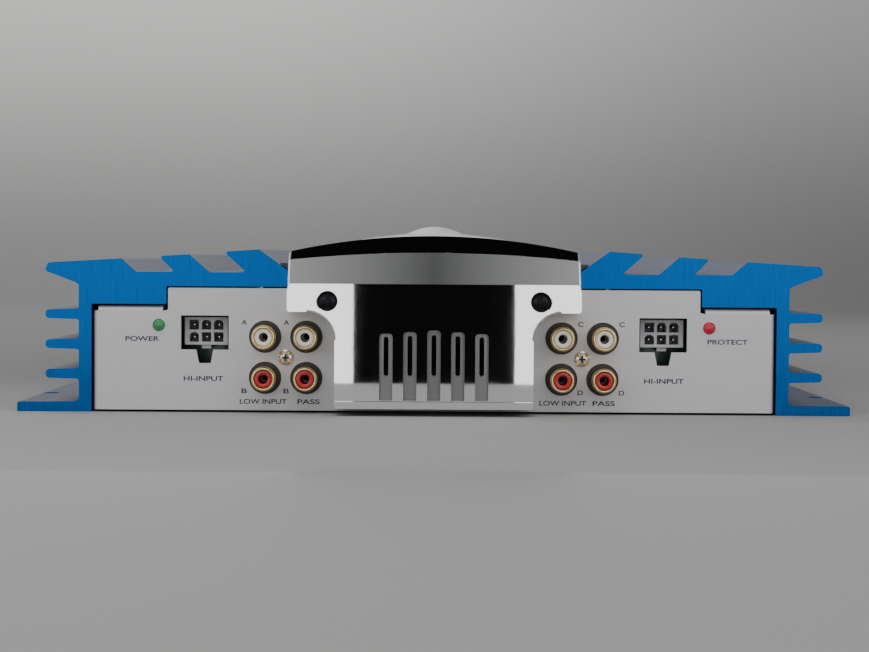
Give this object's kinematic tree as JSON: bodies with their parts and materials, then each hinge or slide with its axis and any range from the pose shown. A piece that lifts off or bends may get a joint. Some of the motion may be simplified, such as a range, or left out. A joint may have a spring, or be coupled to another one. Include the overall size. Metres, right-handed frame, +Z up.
{
  "type": "car amplifier",
  "caption": "Flat car amplifier: a wide finned heatsink case with side mounting flanges, folded end panels, phono jacks and a bright arched centre cover with vented end caps.",
  "frame": {"origin": "middle of the overall box, at the mounting face", "axes": "+X right seen from the signal-input end, +Y from the signal-input end to the power end, +Z up"},
  "size_m": [0.283, 0.3864, 0.0663],
  "materials": {
    "blue_anodised": "blue anodised, drawn grain, sawn ends",
    "black_steel": "black zinc",
    "grey_panel": "silver-grey fine texture paint",
    "bright_plating": "mirror plating",
    "nickel": "nickel plated",
    "black_plastic": "moulded black",
    "gilt": "gilt plated",
    "dark_contact": "dull plated",
    "white_plastic": "moulded white",
    "red_plastic": "moulded red",
    "grey_nylon": "moulded grey nylon",
    "green_lens": "tinted lens",
    "red_lens": "tinted lens",
    "board_green": "solder mask",
    "brass": "turned brass",
    "ferrite": "fired ferrite",
    "enamelled_wire": "enamelled copper wire",
    "blue_sleeve": "shrink sleeve",
    "fuse_green": "translucent green"
  },
  "bodies": {
    "chassis": {"heatsink": "blue_anodised", "base_plate": "black_steel", "front_panel": "grey_panel", "rear_panel": "grey_panel", "front_cap": "bright_plating", "rear_cap": "bright_plating", "top_cover": "bright_plating", "cover_boss": "bright_plating", "cover_seals": "black_plastic", "cap_screws": "black_steel", "base_screws": "black_steel", "jack_screws": "nickel", "jack_block_left": "black_plastic", "jack_block_right": "black_plastic", "jack_collars": "gilt", "white_inserts": "white_plastic", "red_inserts": "red_plastic", "jack_contacts": "dark_contact", "input_socket_left": "grey_nylon", "input_socket_right": "grey_nylon", "socket_pins": "nickel", "power_lamp": "green_lens", "protect_lamp": "red_lens", "input_board": "board_green", "board_link": "black_plastic", "main_board": "board_green", "standoffs": "brass", "board_screws": "nickel", "ring_cores": "ferrite", "ring_windings": "enamelled_wire", "filter_capacitors": "blue_sleeve", "rail_capacitors": "black_plastic", "supply_choke": "enamelled_wire", "supply_transistors": "black_plastic", "output_transistors": "black_plastic", "insulator_strips": "grey_nylon", "clamp_bars": "nickel", "clamp_screws": "nickel", "driver_chips": "black_plastic", "power_block": "black_plastic", "power_clamps": "nickel", "power_clamp_screws": "nickel", "speaker_block": "black_plastic", "speaker_clamps": "nickel", "speaker_clamp_screws": "nickel", "fuse_holder": "black_plastic", "fuse_clips": "nickel", "control_board": "board_green", "control_link": "black_plastic", "pot_bodies": "black_plastic", "switch_bodies": "nickel"},
    "gain_shaft_ab": {"gain_shaft_ab": "black_plastic"},
    "filter_shaft_ab": {"filter_shaft_ab": "black_plastic"},
    "filter_shaft_cd": {"filter_shaft_cd": "black_plastic"},
    "gain_shaft_cd": {"gain_shaft_cd": "black_plastic"},
    "filter_slider_ab": {"filter_slider_ab": "black_plastic"},
    "filter_slider_cd": {"filter_slider_cd": "black_plastic"},
    "fuse_a": {"fuse_a": "fuse_green"},
    "fuse_b": {"fuse_b": "fuse_green"}
  },
  "joints": [
    {"name": "gain_shaft_ab_turn", "type": "hinge", "parent": "chassis", "child": "gain_shaft_ab", "pos_m": [0.108, 0.18, 0.0285], "axis": [0, 1, 0], "range_deg": [-140, 140]},
    {"name": "filter_shaft_ab_turn", "type": "hinge", "parent": "chassis", "child": "filter_shaft_ab", "pos_m": [0.097, 0.18, 0.0285], "axis": [0, 1, 0], "range_deg": [-140, 140]},
    {"name": "filter_shaft_cd_turn", "type": "hinge", "parent": "chassis", "child": "filter_shaft_cd", "pos_m": [0.064, 0.18, 0.0285], "axis": [0, 1, 0], "range_deg": [-140, 140]},
    {"name": "gain_shaft_cd_turn", "type": "hinge", "parent": "chassis", "child": "gain_shaft_cd", "pos_m": [0.053, 0.18, 0.0285], "axis": [0, 1, 0], "range_deg": [-140, 140]},
    {"name": "filter_slider_ab_slide", "type": "slide", "parent": "chassis", "child": "filter_slider_ab", "axis": [1, 0, 0], "range_m": [-0.002, 0.002]},
    {"name": "filter_slider_cd_slide", "type": "slide", "parent": "chassis", "child": "filter_slider_cd", "axis": [1, 0, 0], "range_m": [-0.002, 0.002]},
    {"name": "fuse_a_pull", "type": "slide", "parent": "chassis", "child": "fuse_a", "axis": [0, 1, 0], "range_m": [0, 0.028]},
    {"name": "fuse_b_pull", "type": "slide", "parent": "chassis", "child": "fuse_b", "axis": [0, 1, 0], "range_m": [0, 0.028]}
  ]
}
